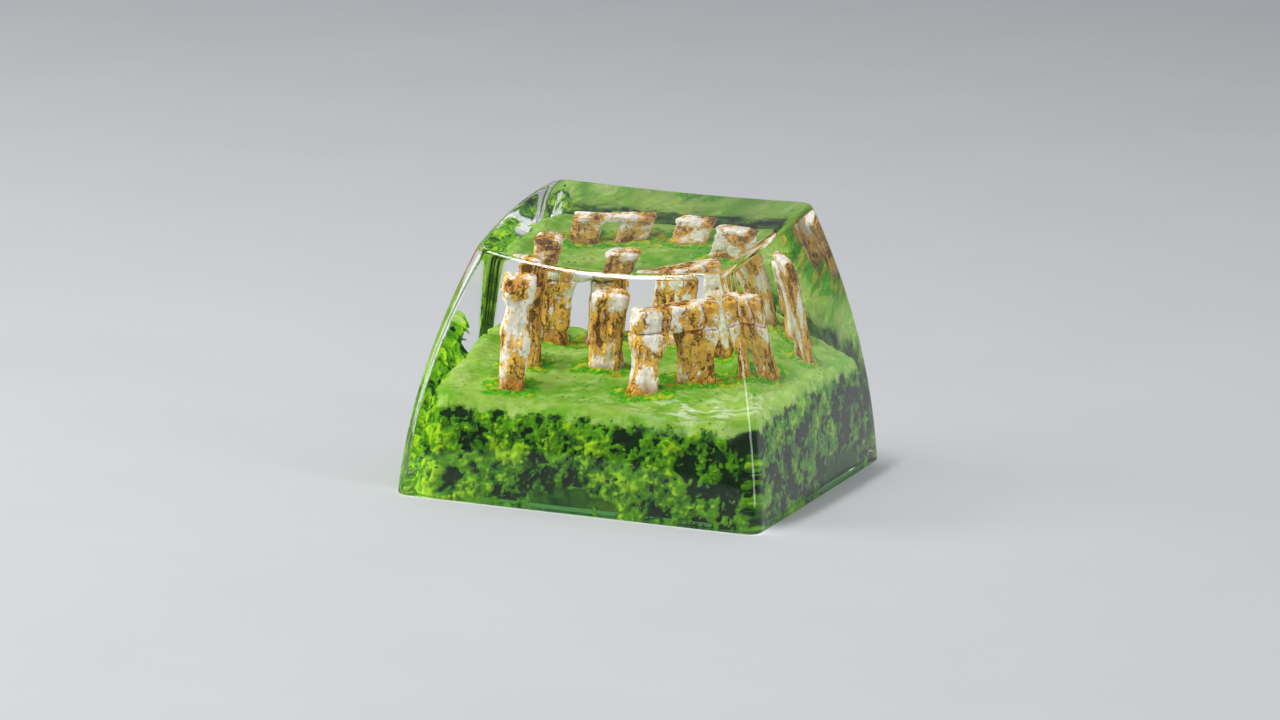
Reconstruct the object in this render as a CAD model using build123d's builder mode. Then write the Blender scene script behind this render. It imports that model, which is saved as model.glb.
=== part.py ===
from build123d import *
import math
import os
from dataclasses import dataclass

os.makedirs("parts", exist_ok=True)

# Clear block: footprint, rim of the top and the bowed walls between them
base_width = 18.3
base_depth = 18.3
rim_front_width = 12.65
rim_back_width = 13.3
rim_front_setback = 2.69
rim_back_setback = 4.25
rim_front_height = 11.8
rim_back_height = 13.3
wall_bulge = 0.5
base_bow = 0.03
rim_bow = 0.4
base_corner_radius = 0.65
rim_corner_radius = 0.62
rim_round = 0.28
foot_round = 0.12

# Top: a shallow trough that runs front to back along a slightly arched line
dish_front_sag = 0.42
dish_back_sag = 0.22
rim_arch = 0.21

# Moss mound inside the block
clear_wall = 0.7
moss_wall = 0.35
moss_corner_radius = 1.4
moss_edge_round = 0.9
ground_front_height = 4.55
ground_middle_height = 5.35
ground_back_height = 5.0

# Opaque base: roof, hollow, foot flange and stem
core_roof_height = 4.5
core_roof_thickness = 0.38
core_corner_radius = 1.1
core_edge_round = 0.5
core_wall = 0.6
cavity_corner_radius = 0.8
flange_thickness = 0.25
stem_diameter = 5.5
stem_recess = 0.4
cross_length = 4.1
cross_arm_along_x = 1.3
cross_arm_along_y = 1.17
cross_depth = 3.6

# Stones: how deep they are rooted, the resin over the tallest and their rounding
root_bed = 0.1
clear_cover = 1.1
stone_corner = 0.3
stone_edge_round = 0.16
waist_share = 0.92
lintel_round = 0.2


@dataclass
class Stone:
    """A standing stone: its place is a share of the half base, its drop is below the cover level."""

    name: str
    place: tuple
    foot: tuple
    crown: tuple
    drop: float
    turn: float
    lean: tuple


@dataclass
class Post:
    """A post of a gate: its size is width along the gate and depth across it."""

    place: tuple
    size: tuple
    lean: tuple


@dataclass
class Gate:
    """Two posts with a lintel across their tops: the lintel ends past the middles of the posts."""

    name: str
    left: Post
    right: Post
    lintel_width: float
    lintel_overhang: float
    lintel_left_thickness: float
    lintel_right_thickness: float
    drop: float


stones = [
    Stone(
        "stone_front_left", place=(-0.462, -0.615), foot=(1.3, 1.2), crown=(1.45, 1.3),
        drop=0.2, turn=12, lean=(0.0, 0.4),
    ),
    Stone(
        "stone_left", place=(-0.49, -0.186), foot=(1.35, 1.45), crown=(1.25, 1.35),
        drop=0.9, turn=8, lean=(0.05, 0.0),
    ),
    Stone(
        "stone_centre", place=(-0.084, -0.11), foot=(1.75, 1.2), crown=(1.7, 1.1),
        drop=2.45, turn=6, lean=(0.1, 0.0),
    ),
    Stone(
        "stone_back", place=(0.1, 0.54), foot=(2.1, 1.1), crown=(2.0, 1.0),
        drop=3.3, turn=-4, lean=(0.0, 0.0),
    ),
    Stone(
        "stone_right", place=(0.44, 0.335), foot=(2.65, 1.0), crown=(2.3, 0.9),
        drop=1.55, turn=-15, lean=(-0.05, -1.0),
    ),
]

gates = [
    Gate(
        "front",
        left=Post(place=(0.216, -0.492), size=(1.5, 1.15), lean=(0.0, 0.9)),
        right=Post(place=(0.432, -0.175), size=(1.9, 1.2), lean=(0.0, -0.7)),
        lintel_width=1.25, lintel_overhang=0.9,
        lintel_left_thickness=1.1, lintel_right_thickness=1.3, drop=1.85,
    ),
    Gate(
        "back",
        left=Post(place=(-0.51, 0.43), size=(1.6, 1.0), lean=(0.2, 0.0)),
        right=Post(place=(-0.25, 0.52), size=(1.8, 1.0), lean=(0.1, 0.0)),
        lintel_width=1.05, lintel_overhang=0.85,
        lintel_left_thickness=0.85, lintel_right_thickness=0.85, drop=3.2,
    ),
]

# Values that follow from the sizes above
rim_front_y = rim_front_setback - base_depth / 2
rim_back_y = base_depth / 2 - rim_back_setback
rim_half = (rim_front_width + rim_back_width) / 4
blank_height = rim_back_height + rim_round
core_inset = clear_wall + moss_wall
cavity_inset = core_inset + core_wall
cavity_depth = core_roof_height - core_roof_thickness
root_height = core_roof_height + root_bed
mound_blank_height = ground_middle_height + moss_edge_round


def rim_height(y):
    """Height of the rim along its sides, on an arched slope from front to back."""
    share = (y - rim_front_y) / (rim_back_y - rim_front_y)
    slope = rim_front_height + share * (rim_back_height - rim_front_height)
    return slope + 4 * rim_arch * share * (1 - share)


def dish_sag(y):
    """How far the middle of the dish lies under the sides of the rim."""
    share = (y - rim_front_y) / (rim_back_y - rim_front_y)
    return dish_front_sag + share * (dish_back_sag - dish_front_sag)


def cover_level(y):
    """Greatest height of a stone under the dish."""
    return rim_height(y) - dish_sag(y) - clear_cover


def wall_corner(height, rim_height_here, rim_width, setback):
    """Half width and depth setback of the outer wall at a height, on a slightly swelling line."""
    share = height / rim_height_here
    swell = 4 * wall_bulge * share * (1 - share)
    half_width = base_width / 2 + share * (rim_width - base_width) / 2 + swell
    return half_width, share * setback - swell


def wall_section(height, inset, corner_radius):
    """Rounded outline of the outer wall at a height, with bowed sides, moved inwards by the inset."""
    front_half, front_back = wall_corner(height, rim_front_height, rim_front_width, rim_front_setback)
    back_half, back_front = wall_corner(height, rim_back_height, rim_back_width, rim_back_setback)
    front_y = front_back + inset - base_depth / 2
    back_y = base_depth / 2 - back_front - inset
    front_x = front_half - inset
    back_x = back_half - inset
    side_x = (front_x + back_x) / 2
    side_y = (front_y + back_y) / 2
    bow = base_bow + (rim_bow - base_bow) * height / rim_back_height
    with BuildSketch(Plane.XY.offset(height)) as section:
        with BuildLine():
            ThreePointArc((-front_x, front_y), (0, front_y - bow), (front_x, front_y))
            ThreePointArc((front_x, front_y), (side_x + bow, side_y), (back_x, back_y))
            ThreePointArc((back_x, back_y), (0, back_y + bow), (-back_x, back_y))
            ThreePointArc((-back_x, back_y), (-side_x - bow, side_y), (-front_x, front_y))
        make_face()
        fillet(section.vertices(), corner_radius)
    return section.sketch


def wall_sections(top, inset, bottom_radius, top_radius, steps=3):
    """Evenly spaced outlines from the foot to a height, for a loft."""
    shares = [step / steps for step in range(steps + 1)]
    return [
        wall_section(top * share, inset, bottom_radius + (top_radius - bottom_radius) * share)
        for share in shares
    ]


def dish_profile(y):
    """Everything above the dish at one depth."""
    half = base_width / 2
    middle = rim_height(y) - dish_sag(y)
    edge = middle + dish_sag(y) * (half / rim_half) ** 2
    ceiling = blank_height + base_depth / 2
    with BuildSketch(Plane.XZ.offset(-y)) as profile:
        with BuildLine():
            ThreePointArc((-half, edge), (0, middle), (half, edge))
            Polyline((half, edge), (half, ceiling), (-half, ceiling), (-half, edge))
        make_face()
    return profile.sketch


def stone_section(x, y, height, size, turn):
    """Rounded outline of a stone at a height."""
    width, depth = size
    angle = math.radians(turn)
    level = Plane((x, y, height), x_dir=(math.cos(angle), math.sin(angle), 0))
    with BuildSketch(level) as section:
        RectangleRounded(width, depth, min(stone_corner, 0.4 * min(size)))
    return section.sketch


def stone_sections(place, foot, crown, top, turn, lean):
    """Outlines of a stone from its root to its top, slightly waisted."""
    x, y = place
    lean_x, lean_y = lean
    waist = [waist_share * (low + high) / 2 for low, high in zip(foot, crown)]
    middle = (root_height + top) / 2
    return [
        stone_section(x, y, root_height, foot, turn),
        stone_section(x + lean_x / 2, y + lean_y / 2, middle, waist, turn),
        stone_section(x + lean_x, y + lean_y, top, crown, turn),
    ]


def plan_place(share):
    """A place on the ground from its share of the half base."""
    return share[0] * base_width / 2, share[1] * base_depth / 2


def write(part, name):
    """Name a finished piece and keep it."""
    part.label = name
    export_step(part, f"parts/{name}.step")


# Single standing stones
settings = []
for stone in stones:
    place = plan_place(stone.place)
    top = cover_level(place[1]) - stone.drop
    with BuildPart() as standing_stone:
        loft(sections=stone_sections(place, stone.foot, stone.crown, top, stone.turn, stone.lean))
        fillet(standing_stone.faces().sort_by(Axis.Z)[-1].edges(), stone_edge_round)
    write(standing_stone.part, stone.name)
    settings.append(standing_stone.part)

# Gates, each with a lintel that rests on the flat tops of its leaning posts
for gate in gates:
    left_top = Vector(*plan_place(gate.left.place)) + Vector(*gate.left.lean)
    right_top = Vector(*plan_place(gate.right.place)) + Vector(*gate.right.lean)
    middle = (left_top + right_top) / 2
    along = (right_top - left_top).normalized()
    turn = math.degrees(math.atan2(along.Y, along.X))
    thickness = max(gate.lintel_left_thickness, gate.lintel_right_thickness)
    underside = cover_level(middle.Y) - gate.drop - thickness
    half_span = (right_top - left_top).length / 2 + gate.lintel_overhang
    elevation = Plane(
        (middle.X, middle.Y, underside), x_dir=along, z_dir=along.cross(Vector(0, 0, 1))
    )
    with BuildPart() as lintel:
        with BuildSketch(elevation):
            with BuildLine():
                Polyline(
                    (-half_span, gate.lintel_left_thickness),
                    (-half_span, 0),
                    (half_span, 0),
                    (half_span, gate.lintel_right_thickness),
                    close=True,
                )
            make_face()
        extrude(amount=gate.lintel_width / 2, both=True)
        fillet(lintel.edges(), lintel_round)
    write(lintel.part, f"{gate.name}_lintel")
    settings.append(lintel.part)
    for side, post in (("left", gate.left), ("right", gate.right)):
        place = plan_place(post.place)
        with BuildPart() as gate_post:
            loft(sections=stone_sections(place, post.size, post.size, underside, turn, post.lean))
        write(gate_post.part, f"{gate.name}_post_{side}")
        settings.append(gate_post.part)

# Full mound: an inset of the outer walls under an arched ground line, with a rounded edge
with BuildPart() as mound:
    loft(sections=wall_sections(mound_blank_height, clear_wall, moss_corner_radius, moss_corner_radius))
    with BuildSketch(Plane.YZ):
        with BuildLine():
            ThreePointArc(
                (-base_depth / 2, ground_front_height),
                (0, ground_middle_height),
                (base_depth / 2, ground_back_height),
            )
            Polyline(
                (base_depth / 2, ground_back_height),
                (base_depth / 2, blank_height),
                (-base_depth / 2, blank_height),
                (-base_depth / 2, ground_front_height),
            )
        make_face()
    extrude(amount=base_width / 2, both=True, mode=Mode.SUBTRACT)
    fillet(mound.faces().sort_by(Axis.Z)[-1].edges(), moss_edge_round)

# Foot flange of the opaque base, as wide as the mound
with BuildPart() as foot_flange:
    add(mound.part)
    split(bisect_by=Plane.XY.offset(flange_thickness), keep=Keep.BOTTOM)

# Solid of the opaque base
with BuildPart() as core_block:
    loft(sections=wall_sections(core_roof_height, core_inset, core_corner_radius, core_corner_radius))
    fillet(core_block.faces().sort_by(Axis.Z)[-1].edges(), core_edge_round)
    add(foot_flange.part)

# Opaque base with its hollow, the stem post and the cross socket
with BuildPart() as base_core:
    add(core_block.part)
    loft(
        sections=wall_sections(cavity_depth, cavity_inset, cavity_corner_radius, cavity_corner_radius),
        mode=Mode.SUBTRACT,
    )
    with BuildSketch(Plane.XY.offset(stem_recess)):
        Circle(stem_diameter / 2)
    extrude(amount=cavity_depth - stem_recess)
    with BuildSketch(Plane.XY.offset(stem_recess)):
        Rectangle(cross_length, cross_arm_along_x)
        Rectangle(cross_arm_along_y, cross_length)
    extrude(amount=cross_depth, mode=Mode.SUBTRACT)
write(base_core.part, "base_core")

# Moss crust over the base, pierced by the roots of the stones
with BuildPart() as moss_ground:
    add(mound.part)
    add(core_block.part, mode=Mode.SUBTRACT)
    for piece in settings:
        add(piece, mode=Mode.SUBTRACT)
write(moss_ground.part, "moss_ground")

# Clear block, cast round the mound and the stones
with BuildPart() as clear_body:
    loft(sections=wall_sections(blank_height, 0, base_corner_radius, rim_corner_radius))
    loft(sections=[dish_profile(share * base_depth) for share in (-0.5, 0, 0.5)], mode=Mode.SUBTRACT)
    fillet(clear_body.faces().sort_by(Axis.Z)[-1].edges(), rim_round)
    fillet(clear_body.faces().sort_by(Axis.Z)[0].edges(), foot_round)
    add(mound.part, mode=Mode.SUBTRACT)
    for piece in settings:
        add(piece, mode=Mode.SUBTRACT)
write(clear_body.part, "clear_body")
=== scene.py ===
import math
from functools import lru_cache

import bmesh
import bpy
import numpy as np
from mathutils import Matrix, Vector, noise


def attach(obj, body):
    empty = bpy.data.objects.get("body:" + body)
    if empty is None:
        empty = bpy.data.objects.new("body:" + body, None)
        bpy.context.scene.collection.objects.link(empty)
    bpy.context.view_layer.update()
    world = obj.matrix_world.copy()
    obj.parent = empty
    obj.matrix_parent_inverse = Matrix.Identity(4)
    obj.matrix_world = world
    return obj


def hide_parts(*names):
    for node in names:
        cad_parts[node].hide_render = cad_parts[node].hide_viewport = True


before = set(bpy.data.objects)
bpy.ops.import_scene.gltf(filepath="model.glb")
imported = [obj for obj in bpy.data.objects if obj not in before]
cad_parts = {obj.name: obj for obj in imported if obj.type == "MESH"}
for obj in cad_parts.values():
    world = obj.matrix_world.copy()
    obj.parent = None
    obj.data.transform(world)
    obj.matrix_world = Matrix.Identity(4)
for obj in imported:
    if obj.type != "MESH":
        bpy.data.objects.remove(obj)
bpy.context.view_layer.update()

MM = 0.001

# Outer form of the clear block, in millimetres
BASE_HALF = 9.147
RIM_FRONT_HALF = 6.325
RIM_BACK_HALF = 6.65
RIM_FRONT_SETBACK = 2.69
RIM_BACK_SETBACK = 4.25
RIM_FRONT_HEIGHT = 11.8
RIM_BACK_HEIGHT = 13.3
WALL_BULGE = 0.5
BASE_BOW = 0.03
RIM_BOW = 0.4
CORNER_RADIUS = 0.64
RIM_ROUND = 0.3
FOOT_ROUND = 0.12
DISH_FRONT_SAG = 0.42
DISH_BACK_SAG = 0.22
RIM_ARCH = 0.21

# Moss mound and the pocket of the clear block that its core fills, in millimetres
MOSS_INSET = 0.68
MOSS_CORNER = 1.4
MOSS_EDGE = 0.9
MOSS_TUCK = 0.18
MOSS_FOOT = 0.03
FLANGE_HEIGHT = 0.26
FLANGE_INSET = 0.72
POCKET_INSET = 1.3
POCKET_CORNER = 1.2
POCKET_ROOF = 4.56
GROUND_FRONT = 4.55
GROUND_MIDDLE = 5.35
GROUND_BACK = 5.0

# Mesh of the clear block: points along a side and round a corner, then the rings of each stretch
BLOCK_POINTS = (96, 16)
ROOF_RINGS = 6
POCKET_RINGS = 12
FOOT_RINGS = 6
WALL_RINGS = 46
RIM_RINGS = 10
DISH_RINGS = 44

# Power that spaces the rings of the wall, and rounds that find where the wall meets the dish
WALL_CROWDING = 0.95
RIM_ROUNDS = 6

# Mesh of the mound in the same order, and how its top mark grows along the rounded edge
MOSS_POINTS = (120, 24)
SIDE_RINGS = 58
EDGE_RINGS = 18
TURF_RINGS = 62
EDGE_TOP_START = 0.1
EDGE_TOP_GAIN = 1.15

# Smallest rings of a closed end, as shares of the full ring
ROOF_SMALLEST = 0.1
TOP_SMALLEST = 0.02

# Even heights at which the outer wall is known, in millimetres
LEVEL_TOP = 14
LEVEL_COUNT = 281
LEVEL_STEP = LEVEL_TOP / (LEVEL_COUNT - 1)

# Feet of the stones on the ground: name, middle, size and turn in degrees
STONE_FEET = [
    ("stone_front_left", (-4.23, -5.6), (1.3, 1.2), 12),
    ("stone_left", (-4.48, -1.7), (1.35, 1.45), 8),
    ("stone_centre", (-0.76, -1.0), (1.75, 1.2), 6),
    ("stone_back", (0.92, 4.94), (2.1, 1.1), -4),
    ("stone_right", (4.02, 2.95), (2.6, 1.0), -15),
    ("front_post_left", (1.98, -4.35), (1.5, 1.15), 34),
    ("front_post_right", (3.95, -1.72), (1.9, 1.2), 34),
    ("back_post_left", (-4.6, 3.93), (1.6, 1.0), 18),
    ("back_post_right", (-2.25, 4.76), (1.8, 1.0), 18),
]
LINTELS = ("front_lintel", "back_lintel")

# Swellings and necks of single stones: height, reach and how far the side moves out
STONE_PROFILES = {
    "stone_front_left": [(9.75, 0.55, 0.13), (8.75, 0.4, -0.1), (7.2, 1.1, 0.05)],
    "stone_left": [(9.7, 0.6, 0.08), (7.6, 1.0, -0.06)],
    "stone_centre": [(8.4, 0.5, 0.05), (7.0, 0.8, -0.06)],
    "front_post_left": [(7.6, 0.5, 0.12), (6.6, 0.6, -0.05)],
    "front_post_right": [(7.6, 0.5, 0.08), (6.4, 0.7, -0.05)],
}

# Working of a stone: mesh size and softening, then its noises per millimetre
STONE_VOXEL = 0.062
SOFTEN_FACTOR = 0.5
SOFTEN_ROUNDS = 3
STONE_SHIFT = (3.7, 1.9, 5.3)
LUMP_SCALE = 0.9
STANDING_GRAIN = (3.2, 3.2, 0.85)
LYING_GRAIN = (1.1, 1.1, 3.2)
GRIT_SCALE = 9.0
CHIP_SCALE = 1.7
CHIP_SHIFT = Vector((4, 1, 2))
CHIP_FROM = 0.28

# Fall-off, gap and count of the octaves of a noise
LUMP_NOISE = (1.0, 2.0, 3)
GRAIN_NOISE = (0.8, 2.2, 3)
ROUGH_NOISE = (0.9, 2.1, 4)

# Lift of a stone by lump, grain, grit and chip, and its hollow mark by grain, chip and grit
STONE_WEIGHTS = (0.1, 0.06, 0.024, -0.3)
HOLLOW_START = 0.45
HOLLOW_WEIGHTS = (-0.7, 1.2, -0.5)

# Noises of the moss per millimetre
ROUGH_SCALE = 1.15
CRUMB_SCALE = 3.4
CRUMB_SHIFT = Vector((7, 3, 1))
LEAF_SCALE = 7.5
LEAF_SHIFT = Vector((1, 9, 4))
PATCH_SCALE = 0.42
PATCH_SHIFT = Vector((3, 3, 8))

# Lift of the moss in millimetres: sides by rough, crumb and leaf, turf by these and patch
SIDE_WEIGHTS = (0.24, 0.15, 0.08)
TURF_WEIGHTS = (0.09, 0.03, 0.014, 0.14)
FOOT_FADE = 0.3

# Brightness of the moss by rough, crumb, leaf, patch and x, and of loose crumbs by rough, crumb and x: partly
# the moss's own tone, partly painted shade in the low places and painted light from the left, darker to the
# right
TONE_AND_SHADE_START = 0.46
TONE_AND_SHADE_WEIGHTS = (0.42, 0.3, 0.18, 0.2, -0.006)
LOOSE_TONE_AND_SHADE_START = 0.52
LOOSE_TONE_AND_SHADE_WEIGHTS = (0.4, 0.2, -0.006)

# Top mark over which turf can have a collar, and a distance out of the reach of any collar
TURF_FROM = 0.9
FAR = 9.0

# Collars round the stones: reach by crumb and patch, lift by crumb and leaf, in millimetres
COLLAR_REACH = 0.85
COLLAR_REACH_WEIGHTS = (0.45, 0.35)
COLLAR_GAIN = 1.6
COLLAR_LIFT = 0.1
COLLAR_WEIGHTS = (0.09, 0.05)

# Worn patches of the front and right sides: middle and reach along the side and up, and fullness
BARE_FROM = 7
FRONT_PATCH = ((-0.6, 0.4), (2.6, 1.3), 1.0)
RIGHT_PATCH = ((3.2, 0.5), (3.4, 1.3), 1.1)
BARE_ROUGH = 0.5
BARE_GAIN = 2
BARE_DEPTH = 0.12

# Middle and reach of the dip and of the painted white highlight on the turf, in millimetres
DIP_PLACE = ((-3.6, 4.0), (2.0, 1.7))
DIP_DEPTH = 0.38
GLINT_PLACE = ((5.2, -6.0), (2.4, 1.6))

# Values that the moss meshes carry for their material; the brightness mark holds painted shade and painted
# light, and one mark places a painted highlight on the turf
MOSS_MARKS = ("top", "tone_and_shade", "collar", "bare", "painted_glint")

# Loose crumbs: count per square metre, radius in metres, draw, limits of the marks and sizes
CRUMB_VALUES = {"Density": 5.0e6, "Crumb size": 0.00017, "Seed": 4}
CRUMB_TOP_LIMIT = 0.35
CRUMB_BARE_LIMIT = 0.25
CRUMB_FACETING = 2
CRUMB_WAVE = {"Scale": 9000.0, "Detail": 2.0}
CRUMB_TURN = (6.28, 6.28, 6.28)
CRUMB_SMALLEST = (0.4, 0.3, 0.15)
CRUMB_LARGEST = (1.9, 0.9, 0.5)

# Sockets of the colour mixing node
MIX_SHARE, MIX_LOW, MIX_HIGH, MIX_RESULT = 0, 6, 7, 2

# Roughness and middle of a shader noise, and the edges of a soft change in one
NOISE_ROUGHNESS = 0.55
NOISE_MIDDLE = 0.5
SOFT = (0.35, 0.65)

# Colours of the resin, the base and the floor
RESIN_CLEAN = (1.0, 1.0, 1.0)
RESIN_SMUDGED = (0.985, 0.995, 0.99)
BASE_SHADE = (0.025, 0.19, 0.018)
BASE = (0.06, 0.3, 0.035)
FLOOR_SHADE = (0.69, 0.70, 0.72)
FLOOR = (0.74, 0.75, 0.77)

# Refractive index of the resin, and the weak shine of dry stone, moss and floor
RESIN_INDEX = 1.5
DRY_SHINE = 0.04
FLOOR_SHINE = 0.2

# Where marks on the resin begin and are full
SMUDGE_EDGE = (0.5, 0.75)
STREAK_EDGE = (0.62, 0.7)

# Colours of the stones
BONE_SHADE = (0.70, 0.60, 0.47)
BONE = (0.93, 0.89, 0.82)
OCHRE_SHADE = (0.60, 0.25, 0.01)
OCHRE = (0.92, 0.53, 0.03)
UMBER_SHADE = (0.05, 0.018, 0.006)
UMBER = (0.24, 0.085, 0.014)
RUST_SHADE = (0.22, 0.06, 0.006)
RUST = (0.70, 0.26, 0.015)
DUST = (0.32, 0.17, 0.05)
CRACK_DARK = (0.06, 0.035, 0.02)
PIT_DARK = (0.05, 0.025, 0.012)

# Where marks on the stones begin and are full; the low part and the foot by height in millimetres
GRAIN_EDGE = (0.3, 0.55)
PIT_EDGE = (0.08, 0.3)
HOLLOW_EDGE = (0.35, 0.9)
GOLD_EDGE = (0.48, 0.515)
BROWN_EDGE = (0.60, 0.65)
CRACK_EDGE = (0.0, 0.0006)
CRACKED_EDGE = (0.44, 0.52)
LOW_EDGE = (6.6, 8.8)
FOOT_EDGE = (5.1, 5.7)
HOLLOW_STAIN = 0.04
LOW_STAIN = 0.05

# Colours of the moss
# Painted shade: near-black green laid in the low gaps of the crumbled sides
PAINTED_GAP_SHADE = (0.002, 0.026, 0.001)
LEAF_SHADE = (0.028, 0.16, 0.001)
LEAF = (0.125, 0.38, 0.002)
# Lime of the leaves, partly a painted highlight on the raised clumps
LIME_AND_HIGHLIGHT = (0.36, 0.64, 0.008)
TURF_SHADE = (0.14, 0.37, 0.012)
TURF = (0.29, 0.48, 0.065)
TURF_BLEACHED = (0.46, 0.60, 0.19)
SPECK_DARK = (0.02, 0.10, 0.01)
TUFT = (0.09, 0.32, 0.012)
# Painted highlight: white sheen streaked over the turf at the front right
GLINT_WHITE = (0.78, 0.88, 0.66)
WET_SHADE = (0.025, 0.24, 0.003)
WET = (0.13, 0.50, 0.008)
SPOT_RUST = (0.42, 0.16, 0.006)
SPOT_YELLOW = (0.52, 0.54, 0.015)
BARE_GREEN = (0.003, 0.06, 0.001)

# Where marks on the moss begin and are full
# The first two: where the leaf rises out of the painted gap shade, and where the lime with its painted
# highlight comes in
CRISP_EDGE = (0.32, 0.46)
LIME_AND_HIGHLIGHT_EDGE = (0.58, 0.82)
BLEACHED_EDGE = (0.45, 0.7)
SPECK_EDGE = (0.1, 0.2)
SPECKED_EDGE = (0.42, 0.55)
TUFT_EDGE = (0.58, 0.72)
TOP_EDGE = (0.38, 0.56)
# Where the streaks of the painted highlight begin and are full
GLINT_EDGE = (0.48, 0.6)
SPOT_EDGE = (0.54, 0.64)
WET_EDGE = (0.3, 0.7)
YELLOW_EDGE = (0.36, 0.5)
COLLAR_EDGE = (0.06, 0.26)
COLLAR_SPOTS = 0.1
NEARLY_BARE_EDGE = (0.02, 0.3)
BARE_EDGE = (0.3, 0.5)

# Studio: floor in metres and its drop in millimetres, background, and the point the panels face
FLOOR_HALF = 1.2
FLOOR_DROP = 0.02
SKY = (0.78, 0.8, 0.85, 1)
SKY_STRENGTH = 0.33
LIGHT_AIM = Vector((0, 0, 6))

# Soft panels: name, place in millimetres, power in watts, width and length, direction of the length
PANELS = [
    ("left_panel", (-272, -116, 92), 0.58, 220, 152, (0, 0, 1)),
    ("rim_strip", (-67, -64, 177), 0.15, 20, 150, (0, 1, 0)),
    ("top_panel", (20, 50, 170), 0.035, 130, 130, (0, 0, 1)),
    ("right_strip", (300, -80, 88), 0.26, 80, 168, (0, 0, 1)),
]

# Camera: degrees to the right, up and of roll, then millimetres, then the clipping in metres
CAMERA_AZIMUTH = 20.09
CAMERA_ELEVATION = 11.84
CAMERA_ROLL = 1.76
CAMERA_TARGET = Vector((-0.26, 0, 5.72))
CAMERA_DISTANCE = 288.7
SENSOR_WIDTH = 36
FOCAL_LENGTH = 168.75
CLIP_START = 0.01
CLIP_END = 10


class Field:
    """A node's output that takes part in sums."""

    def __init__(self, tree, socket):
        self.tree = tree
        self.socket = socket

    def combine(self, operation, left, right):
        """Join two values by one operation."""
        node = self.tree.nodes.new("ShaderNodeMath")
        node.operation = operation
        for entry, value in zip(node.inputs, (left, right)):
            join(self.tree, entry, value)
        return Field(self.tree, node.outputs[0])

    def __add__(self, other):
        return self.combine("ADD", self, other)

    def __radd__(self, other):
        return self.combine("ADD", other, self)

    def __sub__(self, other):
        return self.combine("SUBTRACT", self, other)

    def __rsub__(self, other):
        return self.combine("SUBTRACT", other, self)

    def __mul__(self, other):
        return self.combine("MULTIPLY", self, other)

    def __rmul__(self, other):
        return self.combine("MULTIPLY", other, self)

    def swing(self, amount):
        """A noise as a shift to both sides of zero."""
        return amount * (self - NOISE_MIDDLE)


def join(tree, entry, value):
    """Link a field to a node's entry, or set a plain value on it."""
    if isinstance(value, Field):
        tree.links.new(value.socket, entry)
    elif isinstance(value, (tuple, list)) and len(value) == 3 and entry.type == "RGBA":
        entry.default_value = (*value, 1)
    else:
        entry.default_value = value


class Graph:
    """A node tree whose nodes are all added by one method."""

    def __init__(self, tree):
        self.tree = tree

    def node(self, kind, settings=None, sockets=None, out=0):
        """Add a node with its settings and sockets, and give one of its outputs."""
        node = self.tree.nodes.new(kind)
        for key, value in (settings or {}).items():
            setattr(node, key, value)
        for key, value in (sockets or {}).items():
            join(self.tree, node.inputs[key], value)
        return Field(self.tree, node.outputs[out])


class Surface(Graph):
    """A node material with one Principled shader."""

    def __init__(self, name):
        self.material = bpy.data.materials.new(name)
        self.material.use_nodes = True
        super().__init__(self.material.node_tree)
        self.shader = self.tree.nodes["Principled BSDF"]
        self.place = self.node("ShaderNodeTexCoord", out="Object")

    def mapped(self, shift, stretch=(1, 1, 1)):
        """The place on the object, moved and stretched."""
        return self.node(
            "ShaderNodeMapping",
            sockets={"Vector": self.place, "Location": (shift, shift, shift), "Scale": stretch},
        )

    def noise(self, size, detail, stretch=(1, 1, 1), shift=0.0):
        """Cloudy noise with patches of about the size in millimetres."""
        place = self.mapped(shift, stretch)
        return self.node(
            "ShaderNodeTexNoise",
            sockets={
                "Vector": place, "Scale": 1 / (size * MM), "Detail": detail, "Roughness": NOISE_ROUGHNESS,
            },
        )

    def cells(self, size, shift):
        """Distance to scattered points about the size in millimetres apart."""
        place = self.mapped(shift)
        return self.node(
            "ShaderNodeTexVoronoi", sockets={"Vector": place, "Scale": 1 / (size * MM)}, out="Distance"
        )

    def step(self, value, low, high):
        """A smooth step from 0 at low to 1 at high."""
        return self.node(
            "ShaderNodeMapRange",
            {"interpolation_type": "SMOOTHSTEP"},
            {"Value": value, "From Min": low, "From Max": high},
        )

    def mix(self, share, low, high):
        """A colour between two colours."""
        return self.node(
            "ShaderNodeMix",
            {"data_type": "RGBA"},
            {MIX_SHARE: share, MIX_LOW: low, MIX_HIGH: high},
            out=MIX_RESULT,
        )

    def cover(self, colour, *layers):
        """A colour with others laid over it in turn: where, which colour and how thickly."""
        for share, layer, thickness in layers:
            colour = self.mix(share * thickness, colour, layer)
        return colour

    def mark(self, name):
        """A value kept on the mesh."""
        return self.node("ShaderNodeAttribute", {"attribute_name": name}, out="Fac")

    def height(self):
        """Height above the foot in millimetres."""
        return self.node("ShaderNodeSeparateXYZ", sockets={0: self.place}, out="Z") * (1 / MM)

    def bump(self, height, depth, strength):
        """Raise the surface by a height field, with a depth in millimetres."""
        normal = self.node(
            "ShaderNodeBump",
            sockets={"Height": height, "Distance": depth * MM, "Strength": strength},
            out="Normal",
        )
        join(self.tree, self.shader.inputs["Normal"], normal)

    def set(self, **values):
        """Set or link inputs of the shader, with spaces written as underscores."""
        for key, value in values.items():
            join(self.tree, self.shader.inputs[key.replace("_", " ")], value)
        return self.material


def clear_resin():
    """Polished colourless resin with faint handling marks."""
    surface = Surface("clear_resin")
    smudge = surface.step(surface.noise(size=5.0, detail=3.0), *SMUDGE_EDGE)
    scratches = surface.noise(size=0.5, detail=5.0, stretch=(1, 1, 0.15), shift=3.0)
    streak = surface.step(scratches, *STREAK_EDGE)
    surface.bump(surface.noise(size=3.5, detail=1.0), depth=0.012, strength=0.35)
    return surface.set(
        Base_Color=surface.mix(smudge, RESIN_CLEAN, RESIN_SMUDGED),
        Roughness=0.004 + 0.012 * smudge + 0.01 * streak,
        Transmission_Weight=1.0,
        IOR=RESIN_INDEX,
    )


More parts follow.
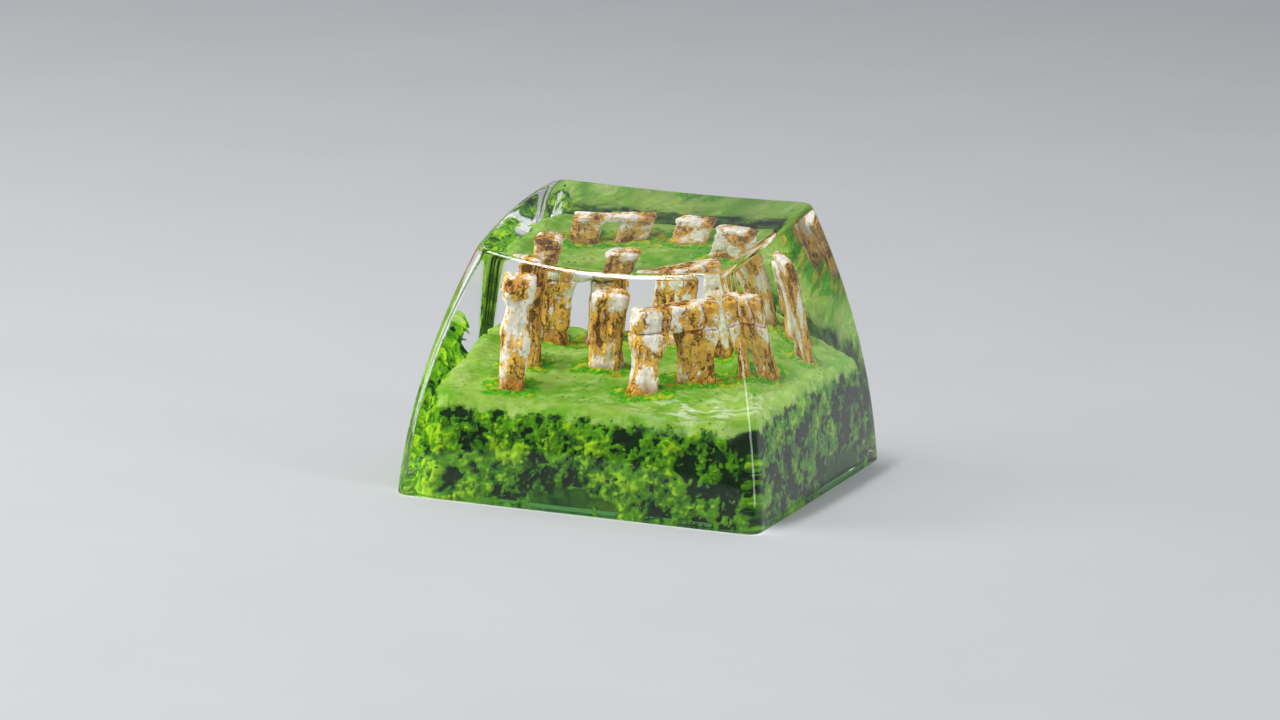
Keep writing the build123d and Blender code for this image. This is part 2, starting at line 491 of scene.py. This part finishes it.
def weathered_stone():
    """Bone-white clay with vertical grain, ochre and rust patina, cracks and dark pits."""
    surface = Surface("weathered_stone")
    grain = surface.noise(size=0.3, detail=5.0, stretch=(1, 1, 0.25))
    coarse = surface.noise(size=1.25, detail=4.0, stretch=(1, 1, 0.6), shift=2.0)
    medium = surface.noise(size=0.45, detail=4.0, shift=9.0)
    fine = surface.noise(size=0.12, detail=3.0, shift=5.0)
    seam = surface.noise(size=0.6, detail=3.0, stretch=(1, 1, 0.4), shift=13.0) - NOISE_MIDDLE
    pits = 1 - surface.step(surface.cells(size=0.2, shift=1.0), *PIT_EDGE)
    hollow = surface.step(surface.mark("hollow"), *HOLLOW_EDGE)
    low = 1 - surface.step(surface.height(), *LOW_EDGE)
    foot = 1 - surface.step(surface.height() + coarse.swing(1.2) + medium.swing(0.8), *FOOT_EDGE)
    stain = coarse + grain.swing(0.3) + medium.swing(0.3) + fine.swing(0.22) + HOLLOW_STAIN * hollow
    gold = surface.step(stain + LOW_STAIN * low, *GOLD_EDGE)
    brown = surface.step(stain + medium.swing(0.3), *BROWN_EDGE)
    crack = (1 - surface.step(seam * seam, *CRACK_EDGE)) * surface.step(coarse, *CRACKED_EDGE)
    colour = surface.cover(
        surface.mix(surface.step(grain, *GRAIN_EDGE), BONE_SHADE, BONE),
        (gold, surface.mix(surface.step(medium, *SOFT), OCHRE_SHADE, OCHRE), 0.93),
        (brown, surface.mix(surface.step(fine, *SOFT), UMBER_SHADE, UMBER), 0.9),
        (foot, surface.mix(medium, RUST_SHADE, RUST), 0.75),
        (hollow, DUST, 0.15),
        (crack, CRACK_DARK, 0.85),
        (pits * gold, PIT_DARK, 0.7),
    )
    surface.bump(0.6 * grain + 0.5 * fine - 0.6 * pits - 0.6 * crack, depth=0.06, strength=0.8)
    return surface.set(Base_Color=colour, Roughness=0.62 + 0.25 * fine, Specular_IOR_Level=DRY_SHINE)


def living_moss():
    """Pale smooth turf on top with a painted white highlight, vivid crumbled moss at the sides with painted
    shade in its low gaps and painted highlights on its raised clumps, wet collars round the stones.
    """
    surface = Surface("living_moss")
    top, tone_and_shade, collar, bare, painted_glint = (surface.mark(name) for name in MOSS_MARKS)
    fine = surface.noise(size=0.16, detail=5.0)
    medium = surface.noise(size=0.8, detail=6.0, shift=4.0)
    broad = surface.noise(size=2.4, detail=3.0, shift=7.0)

    # Sides: painted shade in the low gaps, leaf over it, lime with a painted highlight on the raised clumps,
    # all following the brightness mark
    crisp = surface.step(tone_and_shade + fine.swing(0.3) + medium.swing(0.6), *CRISP_EDGE)
    leaf = surface.mix(surface.step(medium + fine.swing(0.3), *SOFT), LEAF_SHADE, LEAF)
    side = surface.cover(
        surface.mix(crisp, PAINTED_GAP_SHADE, leaf),
        (surface.step(tone_and_shade + fine.swing(0.5), *LIME_AND_HIGHLIGHT_EDGE), LIME_AND_HIGHLIGHT, 0.85),
    )

    specks = 1 - surface.step(surface.cells(size=0.55, shift=2.0) + fine.swing(0.3), *SPECK_EDGE)
    turf = surface.cover(
        surface.mix(surface.step(broad, *SOFT), TURF_SHADE, TURF),
        (surface.step(medium, *BLEACHED_EDGE), TURF_BLEACHED, 0.6),
        (specks * surface.step(medium, *SPECKED_EDGE), SPECK_DARK, 0.85),
        (surface.step(fine, *TUFT_EDGE), TUFT, 0.45),
    )
    upward = surface.step(top + medium.swing(1.1) + fine.swing(0.4), *TOP_EDGE)
    # Painted highlight: white streaks laid on the turf at the front right
    glint_streaks = surface.noise(size=0.5, detail=4.0, stretch=(0.5, 1, 1), shift=15.0)
    colour = surface.cover(
        surface.mix(upward, side, turf),
        (surface.step(glint_streaks, *GLINT_EDGE) * painted_glint * top, GLINT_WHITE, 0.75),
    )

    spots = surface.noise(size=0.6, detail=3.0, shift=11.0) + COLLAR_SPOTS * collar
    spotted = surface.mix(surface.step(medium, *YELLOW_EDGE), SPOT_RUST, SPOT_YELLOW)
    wet = surface.cover(
        surface.mix(surface.step(fine, *WET_EDGE), WET_SHADE, WET),
        (surface.step(spots, *SPOT_EDGE), spotted, 0.75),
    )
    ringed = surface.step(collar + fine.swing(0.2) + medium.swing(0.3), *COLLAR_EDGE)
    ragged = medium.swing(1.3) * surface.step(bare, *NEARLY_BARE_EDGE)
    colour = surface.cover(
        surface.mix(ringed, colour, wet),
        (surface.step(bare + ragged, *BARE_EDGE), BARE_GREEN, 0.85),
    )
    surface.bump(fine + 0.6 * medium, depth=0.07, strength=0.8)
    return surface.set(
        Base_Color=colour, Roughness=0.6 + 0.3 * fine - 0.2 * collar, Specular_IOR_Level=DRY_SHINE
    )


def base_green():
    """Smooth dark green cast resin of the base."""
    surface = Surface("base_green")
    cloud = surface.noise(size=2.2, detail=4.0)
    fine = surface.noise(size=0.2, detail=4.0, shift=3.0)
    surface.bump(fine + 0.5 * cloud, depth=0.02, strength=0.5)
    return surface.set(
        Base_Color=surface.mix(cloud, BASE_SHADE, BASE),
        Roughness=0.34 + 0.16 * fine,
        Coat_Weight=0.15 + 0.1 * cloud,
    )


def pale_floor():
    """Matt pale studio floor."""
    surface = Surface("pale_floor")
    cloud = surface.noise(size=14.0, detail=3.0)
    surface.bump(surface.noise(size=0.4, detail=4.0), depth=0.01, strength=0.3)
    return surface.set(
        Base_Color=surface.mix(cloud, FLOOR_SHADE, FLOOR),
        Roughness=0.86 + 0.1 * cloud,
        Specular_IOR_Level=FLOOR_SHINE,
    )


def weighted(weights, values, start=0.0):
    """A start value with further values added by their weights."""
    for weight, value in zip(weights, values):
        start = start + weight * value
    return start


def arch(height, share):
    """Rise of a low arch at a share of its span, with its height at the middle."""
    return 4 * height * share * (1 - share)


def curve(low, tip, high, share):
    """Points of rounded edges that leave low and reach high, both turned to the tip."""
    return (1 - share) ** 2 * low + 2 * share * (1 - share) * tip + share**2 * high


def blot(x, y, middle, reach):
    """Strength of a soft round patch at a place, 1 in its middle."""
    return math.exp(-(((x - middle[0]) / reach[0]) ** 2) - ((y - middle[1]) / reach[1]) ** 2)


def unit(step):
    """A step in the plane with a length of 1."""
    return step / np.hypot(*step)


def inward(points, middle):
    """Steps with a length of 1 from points towards a middle."""
    return (middle - points) / np.linalg.norm(middle - points, axis=1)[:, None]


def shrink(points, share):
    """An outline drawn in towards its middle."""
    middle = points.mean(0)
    return middle + (points - middle) * share


def at_height(points, height):
    """Points of an outline with one height, or with a height each."""
    heights = np.broadcast_to(np.asarray(height, float), (len(points),))
    return np.column_stack((points, heights))


def rim_share(y):
    """Share of the way from the front of the rim to its back."""
    front = RIM_FRONT_SETBACK - BASE_HALF
    return (y - front) / (BASE_HALF - RIM_BACK_SETBACK - front)


def dish_height(x, y):
    """Height of the dished top at a place."""
    share = rim_share(y)
    slope = RIM_FRONT_HEIGHT + share * (RIM_BACK_HEIGHT - RIM_FRONT_HEIGHT)
    sag = DISH_FRONT_SAG + share * (DISH_BACK_SAG - DISH_FRONT_SAG)
    half = (RIM_FRONT_HALF + RIM_BACK_HALF) / 2
    return slope + arch(RIM_ARCH, share) - sag + sag * (x / half) ** 2


def ground_height(y):
    """Height of the smooth ground line at a depth."""
    share = y / BASE_HALF
    slope = (GROUND_BACK - GROUND_FRONT) / 2
    bend = (GROUND_BACK + GROUND_FRONT) / 2 - GROUND_MIDDLE
    return GROUND_MIDDLE + slope * share + bend * share**2


def wall_line(height, rim_half, rim_level, setback):
    """Half width and setback of the outer wall at a height."""
    share = height / rim_level
    swell = arch(WALL_BULGE, share)
    return BASE_HALF + share * (rim_half - BASE_HALF) + swell, share * setback - swell


@lru_cache(maxsize=None)
def outline(height, inset, corner, side_points, corner_points):
    """Closed rounded outline of the outer wall at a height, moved inwards, as an array of points."""
    front_half, front_back = wall_line(height, RIM_FRONT_HALF, RIM_FRONT_HEIGHT, RIM_FRONT_SETBACK)
    back_half, back_front = wall_line(height, RIM_BACK_HALF, RIM_BACK_HEIGHT, RIM_BACK_SETBACK)
    front_y = front_back + inset - BASE_HALF
    back_y = BASE_HALF - back_front - inset
    front_x = front_half - inset
    back_x = back_half - inset
    corners = np.array([(-front_x, front_y), (front_x, front_y), (back_x, back_y), (-back_x, back_y)])
    bow = BASE_BOW + (RIM_BOW - BASE_BOW) * height / RIM_BACK_HEIGHT
    sides = []
    for start, end in zip(corners, np.roll(corners, -1, axis=0)):
        along = end - start
        length = np.hypot(*along)
        out = np.array((along[1], -along[0])) / length
        share = corner / length + np.linspace(0, 1, side_points) * (1 - 2 * corner / length)
        sides.append(start + share[:, None] * along + arch(bow, share)[:, None] * out)
    points = []
    weight = math.sqrt(0.5)
    for side, following in zip(sides, sides[1:] + sides[:1]):
        first = side[-1]
        last = following[0]
        ahead = first + unit(first - side[-2]) * corner
        behind = last - unit(following[1] - last) * corner
        tip = (ahead + behind) / 2
        share = np.linspace(0, 1, corner_points + 2)[1:-1, None]
        low = (1 - share) ** 2
        middle = 2 * weight * share * (1 - share)
        high = share**2
        points += [side, (low * first + middle * tip + high * last) / (low + middle + high)]
    return np.vstack(points)


def wall_points(rows, heights):
    """Points of the outer wall, one height each, between outlines at even heights."""
    below = np.floor(heights / LEVEL_STEP).astype(int)
    share = heights / LEVEL_STEP - below
    index = np.arange(len(heights))
    low = rows[below, index]
    return low + (rows[below + 1, index] - low) * share[:, None]


def rings_mesh(name, rings, close_start):
    """A smooth closed mesh from rings of equal count in millimetres; the start can stay open."""
    count = len(rings[0])
    vertices = np.vstack(rings)
    faces = []
    for low in range(0, len(vertices) - count, count):
        for step in range(count):
            after = (step + 1) % count
            faces.append((low + step, low + after, low + count + after, low + count + step))
    for row in (0, len(rings) - 1) if close_start else (len(rings) - 1,):
        tip = len(vertices)
        vertices = np.vstack((vertices, rings[row].mean(0)))
        first = row * count
        faces += [(first + step, first + (step + 1) % count, tip) for step in range(count)]
    mesh = bpy.data.meshes.new(name)
    mesh.from_pydata((vertices * MM).tolist(), [], faces)
    shape = bmesh.new()
    shape.from_mesh(mesh)
    bmesh.ops.recalc_face_normals(shape, faces=shape.faces)
    shape.to_mesh(mesh)
    shape.free()
    shade_smooth(mesh)
    return mesh


def shade_smooth(mesh):
    """Shade all faces of a mesh smooth."""
    for face in mesh.polygons:
        face.use_smooth = True


def write_marks(mesh, marks):
    """Keep named values on the points of a mesh."""
    for name, values in marks.items():
        mark = mesh.attributes.get(name) or mesh.attributes.new(name, "FLOAT", "POINT")
        mark.data.foreach_set("value", np.asarray(values, np.float32))


def in_scene(name, data):
    """A new object in the scene."""
    shown = bpy.data.objects.new(name, data)
    bpy.context.scene.collection.objects.link(shown)
    return shown


def applied(carrier, name):
    """Plain mesh of an object with its modifiers applied; the object itself is removed."""
    shape = bpy.context.evaluated_depsgraph_get()
    mesh = bpy.data.meshes.new_from_object(carrier.evaluated_get(shape))
    bpy.data.objects.remove(carrier)
    mesh.name = name
    return mesh


def piece(name, mesh, material, slot, *nodes):
    """A finished piece of the object that rides on the one body and stands for its nodes."""
    mesh.materials.clear()
    mesh.materials.append(material)
    shown = in_scene(name, mesh)
    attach(shown, "root")
    if nodes:
        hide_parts(*nodes)
    return shown


def clear_block():
    """The clear block: pocket over the core, foot, bowed walls, rounded rim and dished top."""

    def ring(height, inset=0, corner=CORNER_RADIUS):
        return outline(height, inset, corner, *BLOCK_POINTS)

    roof = ring(POCKET_ROOF, POCKET_INSET, POCKET_CORNER)
    rings = []
    for share in np.linspace(ROOF_SMALLEST, 1, ROOF_RINGS):
        rings.append(at_height(shrink(roof, share), POCKET_ROOF))
    for height in np.linspace(POCKET_ROOF, FLANGE_HEIGHT, POCKET_RINGS)[1:]:
        rings.append(at_height(ring(height, POCKET_INSET, POCKET_CORNER), height))
    for height in (FLANGE_HEIGHT, 0):
        rings.append(at_height(ring(height, FLANGE_INSET, MOSS_CORNER), height))
    for turn in np.linspace(0, math.pi / 2, FOOT_RINGS):
        height = FOOT_ROUND * (1 - math.cos(turn))
        rings.append(at_height(ring(height, FOOT_ROUND * (1 - math.sin(turn))), height))

    edge = ring(RIM_BACK_HEIGHT)
    for _ in range(RIM_ROUNDS):
        level = dish_height(edge[:, 0], edge[:, 1])
        edge = np.array([ring(round(float(height), 3))[index] for index, height in enumerate(level)])
    level = dish_height(edge[:, 0], edge[:, 1])
    rows = np.array([ring(height) for height in np.linspace(0, LEVEL_TOP, LEVEL_COUNT)])
    for share in np.linspace(0, 1, WALL_RINGS)[1:] ** WALL_CROWDING:
        heights = FOOT_ROUND + share * (level - RIM_ROUND - FOOT_ROUND)
        rings.append(at_height(wall_points(rows, heights), heights))

    low = rings[-1]
    tip = at_height(edge, level)
    inner = edge + inward(edge, edge.mean(0)) * RIM_ROUND
    high = at_height(inner, dish_height(inner[:, 0], inner[:, 1]))
    for share in np.linspace(0, 1, RIM_RINGS)[1:]:
        rings.append(curve(low, tip, high, share))
    for share in np.linspace(1, TOP_SMALLEST, DISH_RINGS)[1:]:
        flat = shrink(inner, share)
        rings.append(at_height(flat, dish_height(flat[:, 0], flat[:, 1])))
    return rings_mesh("clear_block", rings, close_start=True)


def foot_distance(x, y, foot):
    """Distance of a place from a stone's foot."""
    _, middle, size, turn = foot
    angle = math.radians(turn)
    dx, dy = x - middle[0], y - middle[1]
    along = abs(dx * math.cos(angle) + dy * math.sin(angle)) - size[0] / 2
    across = abs(dy * math.cos(angle) - dx * math.sin(angle)) - size[1] / 2
    return math.hypot(max(along, 0), max(across, 0))


def bare_share(x, y, z, rough):
    """How far the moss is worn off, in one patch of the front and one of the right side."""

    def worn(along, middle, reach, fullness):
        distance = math.hypot((along - middle[0]) / reach[0], (z - middle[1]) / reach[1])
        return max(0.0, fullness - distance + BARE_ROUGH * rough)

    front = worn(x, *FRONT_PATCH) if y < -BARE_FROM else 0.0
    right = worn(y, *RIGHT_PATCH) if x > BARE_FROM else 0.0
    return max(front, right)


def moss_rough(spot):
    """Coarse unevenness of the moss at a place."""
    return noise.fractal(spot * ROUGH_SCALE, *ROUGH_NOISE)


def plain_mound():
    """Smooth skin of the mound, and how far each of its points belongs to the top."""

    def ring(height):
        return outline(height, MOSS_INSET, MOSS_CORNER, *MOSS_POINTS)

    edge = ring(GROUND_MIDDLE)
    crest = ground_height(edge[:, 1])
    rings, tops = [], []
    for share in np.linspace(0, 1, SIDE_RINGS):
        heights = MOSS_FOOT + share * (crest - MOSS_EDGE - MOSS_FOOT)
        flat = np.array([ring(round(float(height), 2))[index] for index, height in enumerate(heights)])
        rings.append(at_height(flat, heights))
        tops.append(0.0)
    low = rings[-1]
    wall = low[:, :2]
    steps = inward(wall, edge.mean(0))
    tip = at_height(wall + steps * MOSS_TUCK, crest)
    inner = wall + steps * (MOSS_EDGE + MOSS_TUCK)
    high = at_height(inner, ground_height(inner[:, 1]))
    for share in np.linspace(0, 1, EDGE_RINGS)[1:]:
        rings.append(curve(low, tip, high, share))
        tops.append(min(1.0, EDGE_TOP_START + EDGE_TOP_GAIN * share))
    for share in np.linspace(1, TOP_SMALLEST, TURF_RINGS)[1:]:
        flat = shrink(inner, share)
        rings.append(at_height(flat, ground_height(flat[:, 1])))
        tops.append(1.0)
    mesh = rings_mesh("moss_mound", rings, close_start=False)
    return mesh, np.append(np.repeat(tops, len(edge)), 1.0)


def moss_mound():
    """Skin of the moss mound, with crumbled sides, rolling turf and raised collars round the stones."""
    mesh, tops = plain_mound()
    places = np.empty(len(mesh.vertices) * 3)
    mesh.vertices.foreach_get("co", places)
    places = places.reshape(-1, 3) / MM
    normals = [vertex.normal.copy() for vertex in mesh.vertices]
    rows, moved = [], []
    for place, normal, top in zip(places, normals, tops):
        x, y, z = place
        spot = Vector(place)
        rough = moss_rough(spot)
        crumb = noise.noise(spot * CRUMB_SCALE + CRUMB_SHIFT)
        leaf = noise.noise(spot * LEAF_SCALE + LEAF_SHIFT)
        patch = noise.noise(spot * PATCH_SCALE + PATCH_SHIFT)
        bare = bare_share(x, y, z, rough)
        near = min(foot_distance(x, y, foot) for foot in STONE_FEET) if top > TURF_FROM else FAR
        collar = max(0.0, 1 - near / weighted(COLLAR_REACH_WEIGHTS, (crumb, patch), COLLAR_REACH))
        worn = min(1, bare * BARE_GAIN)
        side_lift = weighted(SIDE_WEIGHTS, (rough, crumb, leaf)) * (1 - worn) - BARE_DEPTH * worn
        turf_lift = weighted(TURF_WEIGHTS, (rough, crumb, leaf, patch)) - DIP_DEPTH * blot(x, y, *DIP_PLACE)
        turf_lift += min(1, collar * COLLAR_GAIN) * weighted(COLLAR_WEIGHTS, (crumb, leaf), COLLAR_LIFT)
        lift = side_lift * (1 - top) + turf_lift * top
        lift *= min(1, max(0, (z - MOSS_FOOT) / FOOT_FADE))
        moved.append(spot + normal * lift)
        # Brightness of the moss, with painted shade where the skin lies low and painted light from the left,
        # darker to the right
        tone_and_shade = weighted(TONE_AND_SHADE_WEIGHTS, (rough, crumb, leaf, patch, x), TONE_AND_SHADE_START)
        # The last mark places the painted highlight on the turf
        rows.append((top, tone_and_shade, collar, bare, blot(x, y, *GLINT_PLACE)))
    mesh.vertices.foreach_set("co", (np.array(moved) * MM).ravel())
    write_marks(mesh, dict(zip(MOSS_MARKS, zip(*rows))))
    mesh.update()
    return mesh


def rough_stone(name, seed):
    """A stone worked from its plain solid: fine mesh, worn edges, grain along it, grit and chips."""
    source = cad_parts[name].data.copy()
    source.transform(Matrix.Scale(1 / MM, 4))
    blank = in_scene(name + "_blank", source)
    remesh = blank.modifiers.new("even", "REMESH")
    remesh.mode = "VOXEL"
    remesh.voxel_size = STONE_VOXEL
    soften = blank.modifiers.new("soften", "SMOOTH")
    soften.factor = SOFTEN_FACTOR
    soften.iterations = SOFTEN_ROUNDS
    mesh = applied(blank, name + "_rough")
    shift = Vector([seed * part for part in STONE_SHIFT])
    stretch = LYING_GRAIN if name in LINTELS else STANDING_GRAIN
    hollows, moved = [], []
    for vertex in mesh.vertices:
        spot = vertex.co + shift
        lump = noise.fractal(spot * LUMP_SCALE, *LUMP_NOISE)
        grain = noise.fractal(Vector([part * scale for part, scale in zip(spot, stretch)]), *GRAIN_NOISE)
        grit = noise.noise(spot * GRIT_SCALE)
        chip = max(0.0, noise.noise(spot * CHIP_SCALE + CHIP_SHIFT) - CHIP_FROM)
        lift = weighted(STONE_WEIGHTS, (lump, grain, grit, chip))
        for level, reach, out in STONE_PROFILES.get(name, ()):
            lift += out * math.exp(-(((vertex.co.z - level) / reach) ** 2)) * (1 - vertex.normal.z**2)
        moved.append(vertex.co + vertex.normal * lift)
        hollow = weighted(HOLLOW_WEIGHTS, (grain, chip, grit), HOLLOW_START)
        hollows.append(min(1.0, max(0.0, hollow)))
    mesh.vertices.foreach_set("co", np.array(moved).ravel())
    write_marks(mesh, {"hollow": hollows})
    mesh.transform(Matrix.Scale(MM, 4))
    shade_smooth(mesh)
    mesh.update()
    return mesh


def crumb_tree():
    """Node tree that scatters small crumbs of moss over the covered sides of a skin."""
    tree = bpy.data.node_groups.new("moss_crumbs", "GeometryNodeTree")
    entries = {
        "Geometry": "Geometry", "Density": "Float", "Crumb size": "Float", "Seed": "Int", "Moss": "Material",
    }
    for label, kind in entries.items():
        tree.interface.new_socket(label, in_out="INPUT", socket_type="NodeSocket" + kind)
    tree.interface.new_socket("Geometry", in_out="OUTPUT", socket_type="NodeSocketGeometry")
    graph = Graph(tree)
    skin, density, radius, seed, material = (graph.node("NodeGroupInput", out=label) for label in entries)

    def below(name, limit):
        mark = graph.node("GeometryNodeInputNamedAttribute", {"data_type": "FLOAT"}, {"Name": name})
        return graph.node("FunctionNodeCompare", {"operation": "LESS_THAN"}, {0: mark, 1: limit})

    def draw(low, high):
        return graph.node(
            "FunctionNodeRandomValue", {"data_type": "FLOAT_VECTOR"}, {0: low, 1: high, "Seed": seed}
        )

    covered = graph.node(
        "FunctionNodeBooleanMath",
        {"operation": "AND"},
        {0: below("top", CRUMB_TOP_LIMIT), 1: below("bare", CRUMB_BARE_LIMIT)},
    )
    points = graph.node(
        "GeometryNodeDistributePointsOnFaces",
        sockets={"Mesh": skin, "Selection": covered, "Density": density, "Seed": seed},
    )
    ball = graph.node("GeometryNodeMeshIcoSphere", sockets={"Radius": radius, "Subdivisions": CRUMB_FACETING})
    wave = graph.node("ShaderNodeTexNoise", sockets=CRUMB_WAVE, out="Color")
    centred = graph.node("ShaderNodeVectorMath", {"operation": "SUBTRACT"}, {0: wave, 1: (NOISE_MIDDLE,) * 3})
    offset = graph.node("ShaderNodeVectorMath", {"operation": "SCALE"}, {0: centred, "Scale": radius})
    crumb = graph.node("GeometryNodeSetPosition", sockets={"Geometry": ball, "Offset": offset})
    turn = draw((0, 0, 0), CRUMB_TURN)
    size = draw(CRUMB_SMALLEST, CRUMB_LARGEST)
    spread = graph.node(
        "GeometryNodeInstanceOnPoints",
        sockets={"Points": points, "Instance": crumb, "Rotation": turn, "Scale": size},
    )
    solid = graph.node("GeometryNodeRealizeInstances", sockets={0: spread})
    dressed = graph.node("GeometryNodeSetMaterial", sockets={"Geometry": solid, "Material": material})
    join(tree, tree.nodes.new("NodeGroupOutput").inputs[0], dressed)
    return tree


def moss_crumbs(skin, material):
    """Loose crumbs on the sides of the mound, as a plain mesh that stays above the foot."""
    tree = crumb_tree()
    carrier = in_scene("crumb_carrier", skin.copy())
    scatter = carrier.modifiers.new("crumbs", "NODES")
    scatter.node_group = tree
    values = {**CRUMB_VALUES, "Moss": material}
    for item in tree.interface.items_tree:
        if item.item_type == "SOCKET" and item.in_out == "INPUT" and item.name in values:
            scatter[item.identifier] = values[item.name]
    mesh = applied(carrier, "moss_crumbs")
    places = np.empty(len(mesh.vertices) * 3, np.float32)
    mesh.vertices.foreach_get("co", places)
    places[2::3] = np.maximum(places[2::3], MOSS_FOOT * MM)
    mesh.vertices.foreach_set("co", places)
    tones_and_shades = []
    for place in places.reshape(-1, 3) / MM:
        spot = Vector(place)
        crumb = noise.noise(spot * CRUMB_SCALE)
        # Brightness of the crumbs, with painted shade in the low places and painted light from the left,
        # darker to the right
        tones_and_shades.append(weighted(LOOSE_TONE_AND_SHADE_WEIGHTS, (moss_rough(spot), crumb, spot.x), LOOSE_TONE_AND_SHADE_START))
    marks = dict.fromkeys(MOSS_MARKS, np.zeros(len(tones_and_shades)))
    write_marks(mesh, {**marks, "tone_and_shade": tones_and_shades})
    shade_smooth(mesh)
    return mesh


def soft_panel(name, place, power, width, length, along):
    """A soft studio panel turned to the object, with its length along a direction."""
    lamp = bpy.data.lights.new(name, "AREA")
    lamp.shape = "RECTANGLE"
    lamp.size = width * MM
    lamp.size_y = length * MM
    lamp.energy = power
    back = (Vector(place) - LIGHT_AIM).normalized()
    side = Vector(along).cross(back).normalized()
    pose = Matrix((side, back.cross(side), back)).transposed().to_4x4()
    pose.translation = Vector(place) * MM
    in_scene(name, lamp).matrix_world = pose


def studio():
    """Pale floor, soft light and an even pale background."""
    corners = [(-1, -1), (1, -1), (1, 1), (-1, 1)]
    places = [(x * FLOOR_HALF, y * FLOOR_HALF, -FLOOR_DROP * MM) for x, y in corners]
    floor_mesh = bpy.data.meshes.new("studio_floor")
    floor_mesh.from_pydata(places, [], [(0, 1, 2, 3)])
    floor_mesh.materials.append(pale_floor())
    floor = in_scene("studio_floor", floor_mesh)
    world = bpy.data.worlds.new("studio")
    bpy.context.scene.world = world
    world.use_nodes = True
    background = world.node_tree.nodes["Background"]
    background.inputs["Color"].default_value = SKY
    background.inputs["Strength"].default_value = SKY_STRENGTH
    for panel in PANELS:
        soft_panel(*panel)


def photo_camera():
    """Camera at the photograph's angle, with a slight roll."""
    azimuth, elevation = math.radians(CAMERA_AZIMUTH), math.radians(CAMERA_ELEVATION)
    roll = math.radians(CAMERA_ROLL)
    back = Vector((
        math.sin(azimuth) * math.cos(elevation),
        -math.cos(azimuth) * math.cos(elevation),
        math.sin(elevation),
    ))
    right = (-back).cross(Vector((0, 0, 1))).normalized()
    up = right.cross(-back)
    turned_right = math.cos(roll) * right + math.sin(roll) * up
    turned_up = math.cos(roll) * up - math.sin(roll) * right
    pose = Matrix((turned_right, turned_up, back)).transposed().to_4x4()
    pose.translation = (CAMERA_TARGET + back * CAMERA_DISTANCE) * MM
    lens = bpy.data.cameras.new("photo_camera")
    lens.sensor_width = SENSOR_WIDTH
    lens.lens = FOCAL_LENGTH
    lens.clip_start = CLIP_START
    lens.clip_end = CLIP_END
    camera = in_scene("photo_camera", lens)
    camera.matrix_world = pose
    bpy.context.scene.camera = camera


photo_camera()
studio()
bpy.context.scene.view_settings.view_transform = "Standard"

resin = clear_resin()
stone = weathered_stone()
moss = living_moss()
core = base_green()

# The block casts no shadow of its own, so that the panels light what is cast inside it
block = piece("clear_block", clear_block(), resin, "clear_resin", "clear_body")
block.visible_shadow = False
mound = piece("moss_mound", moss_mound(), moss, "moss", "moss_ground")
piece("moss_crumbs", moss_crumbs(mound.data, moss), moss, "moss")
for number, stone_name in enumerate([foot[0] for foot in STONE_FEET] + list(LINTELS)):
    piece("rough_" + stone_name, rough_stone(stone_name, number), stone, "stone", stone_name)
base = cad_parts["base_core"]
base.data.materials.clear()
base.data.materials.append(core)
